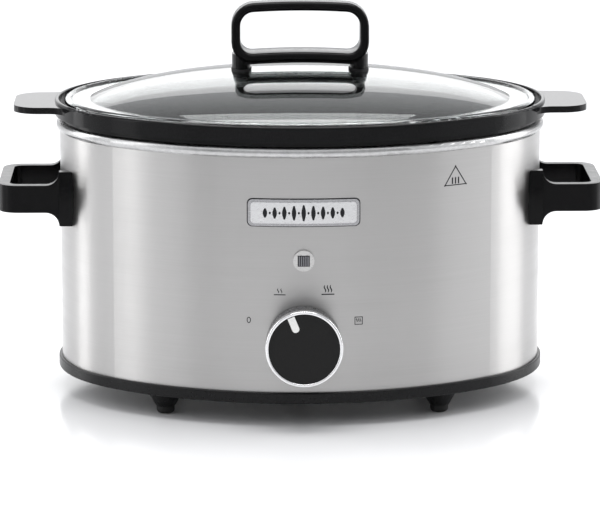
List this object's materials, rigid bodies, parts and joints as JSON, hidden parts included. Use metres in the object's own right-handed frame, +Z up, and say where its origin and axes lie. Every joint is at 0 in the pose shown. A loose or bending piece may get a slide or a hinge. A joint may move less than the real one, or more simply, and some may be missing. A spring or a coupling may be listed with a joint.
{
  "type": "slow cooker",
  "caption": "Oval countertop slow cooker with a lift-out stoneware crock, a domed glass lid with a loop handle, side handles and a front control knob.",
  "frame": {"origin": "On the floor under the middle of the base oval, where the rubber feet rest.", "axes": "+X to the cooker's right seen from the front, +Y to the back, +Z up; the knob faces -Y."},
  "size_m": [0.3746, 0.2715, 0.2434],
  "materials": {
    "stainless": "brushed stainless sheet",
    "bright_steel": "polished bright metal",
    "zinc_steel": "zinc plated steel",
    "aluminium": "mill finish aluminium",
    "stoneware": "black glazed stoneware",
    "clear_glass": "clear tempered glass",
    "gloss_black": "glossy black heat-proof plastic",
    "matte_black": "matte black heat-proof plastic",
    "dark_face": "dark grey satin plastic",
    "pale_plastic": "white plastic",
    "grey_plastic": "grey plastic",
    "smoked_lens": "smoked lens plastic",
    "black_rubber": "black rubber",
    "silicone": "black silicone",
    "brass": "brass",
    "wire_brown": "brown wire insulation",
    "wire_blue": "blue wire insulation",
    "wire_earth": "green and yellow wire insulation",
    "wire_white": "white glass-braid wire insulation",
    "lamp_glass": "small neon lamp"
  },
  "bodies": {
    "housing": {"base": "matte_black", "rubber_feet": "black_rubber", "outer_shell": "stainless", "rear_plate": "stainless", "heating_well": "bright_steel", "side_handle_left": "gloss_black", "side_handle_right": "gloss_black", "handle_screws": "zinc_steel", "switch_bracket": "zinc_steel", "bracket_screws": "zinc_steel", "switch_body": "matte_black", "switch_nut": "zinc_steel", "indicator_bezel": "bright_steel", "indicator_lens": "smoked_lens", "neon_lamp": "lamp_glass", "lamp_clip": "grey_plastic", "badge_frame": "gloss_black", "badge_plate": "aluminium", "badge_push_nuts": "zinc_steel", "heater_band_low": "aluminium", "heater_band_high": "aluminium", "heater_straps": "zinc_steel", "centre_stud": "zinc_steel", "stud_spacer": "zinc_steel", "stud_washer": "zinc_steel", "stud_nuts": "zinc_steel", "heat_shield": "aluminium", "earth_tag": "brass", "cord_gland": "matte_black", "gland_nut": "matte_black", "terminal_block": "pale_plastic", "terminal_screws": "brass", "thermal_fuse": "zinc_steel", "fuse_clip": "zinc_steel", "wire_live": "wire_brown", "wire_neutral": "wire_blue", "wire_earth": "wire_earth", "wire_switch": "wire_brown", "wire_heater_low": "wire_white", "wire_heater_high": "wire_white"},
    "crock": {"crock": "stoneware"},
    "lid": {"lid_glass": "clear_glass", "lid_handle": "gloss_black", "lid_gasket": "silicone", "lid_washers": "silicone", "lid_screws": "zinc_steel"},
    "knob": {"knob_skirt": "grey_plastic", "knob_ring": "bright_steel", "knob_face": "dark_face", "knob_pointer": "pale_plastic", "switch_shaft": "zinc_steel", "switch_cam": "grey_plastic"}
  },
  "joints": [
    {"name": "crock_lift", "type": "slide", "parent": "housing", "child": "crock", "axis": [0, 0, 1], "range_m": [0, 0.14]},
    {"name": "lid_lift", "type": "slide", "parent": "crock", "child": "lid", "axis": [0, 0, 1], "range_m": [0, 0.08]},
    {"name": "knob_turn", "type": "hinge", "parent": "housing", "child": "knob", "pos_m": [0, -0.117, 0.0517], "axis": [0, 1, 0], "range_deg": [-45, 90]}
  ]
}
